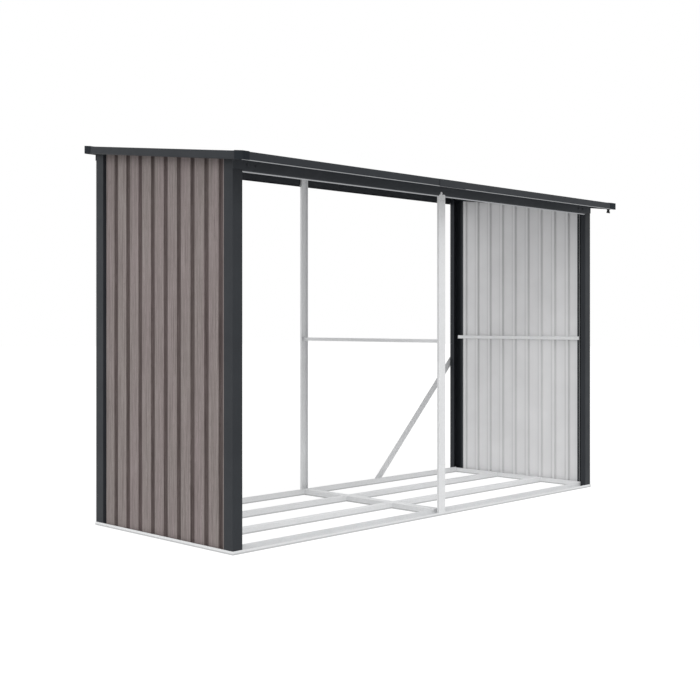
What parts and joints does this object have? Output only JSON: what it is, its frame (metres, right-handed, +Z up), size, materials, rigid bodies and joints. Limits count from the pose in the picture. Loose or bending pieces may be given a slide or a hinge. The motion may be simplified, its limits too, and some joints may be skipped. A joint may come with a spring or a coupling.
{
  "type": "log store",
  "caption": "Open-fronted steel log store with corrugated clad ends, a slatted floor frame, rear braces and a lean-to roof.",
  "frame": {"origin": "on the ground, under the middle of the roof", "axes": "+X along the length to the right as seen from the front, +Y from the open front to the back, +Z up"},
  "size_m": [2.465, 1.002, 1.5661],
  "materials": {
    "galvanised_steel": "bare galvanised steel, pale and slightly mottled",
    "anthracite_steel": "satin coil coating",
    "roof_sheet_steel": "satin coil coating above, pale grey back coat below",
    "wood_print_steel": "printed grey wood grain outside, pale grey back coat inside",
    "corner_cap_plastic": "moulded, matt"
  },
  "bodies": {
    "root": {"base_front_rail": "galvanised_steel", "base_left_rail": "galvanised_steel", "base_middle_rail": "galvanised_steel", "base_rear_rail": "galvanised_steel", "base_right_rail": "galvanised_steel", "centre_tie_rail": "galvanised_steel", "floor_rail_left_front": "galvanised_steel", "floor_rail_left_rear": "galvanised_steel", "floor_rail_right_front": "galvanised_steel", "floor_rail_right_rear": "galvanised_steel", "front_beam_left": "anthracite_steel", "front_beam_right": "anthracite_steel", "front_left_post": "anthracite_steel", "front_middle_post": "galvanised_steel", "front_right_post": "anthracite_steel", "front_trim_clip": "anthracite_steel", "front_trim_joiner": "anthracite_steel", "front_trim_left": "anthracite_steel", "front_trim_right": "anthracite_steel", "left_rear_brace": "galvanised_steel", "left_top_rail": "anthracite_steel", "left_trim": "anthracite_steel", "left_wall_narrow_sheet": "wood_print_steel", "left_wall_rail": "galvanised_steel", "left_wall_wide_sheet": "wood_print_steel", "rear_beam_left": "anthracite_steel", "rear_beam_right": "anthracite_steel", "rear_left_post": "anthracite_steel", "rear_middle_post": "galvanised_steel", "rear_right_post": "anthracite_steel", "rear_trim_left": "anthracite_steel", "rear_trim_right": "anthracite_steel", "right_rear_brace": "galvanised_steel", "right_top_rail": "anthracite_steel", "right_trim": "anthracite_steel", "right_wall_narrow_sheet": "wood_print_steel", "right_wall_rail": "galvanised_steel", "right_wall_wide_sheet": "wood_print_steel", "roof_cap_front_left": "corner_cap_plastic", "roof_cap_front_right": "corner_cap_plastic", "roof_cap_rear_left": "corner_cap_plastic", "roof_cap_rear_right": "corner_cap_plastic", "roof_sheet_left": "roof_sheet_steel", "roof_sheet_middle": "roof_sheet_steel", "roof_sheet_right": "roof_sheet_steel"}
  },
  "joints": []
}
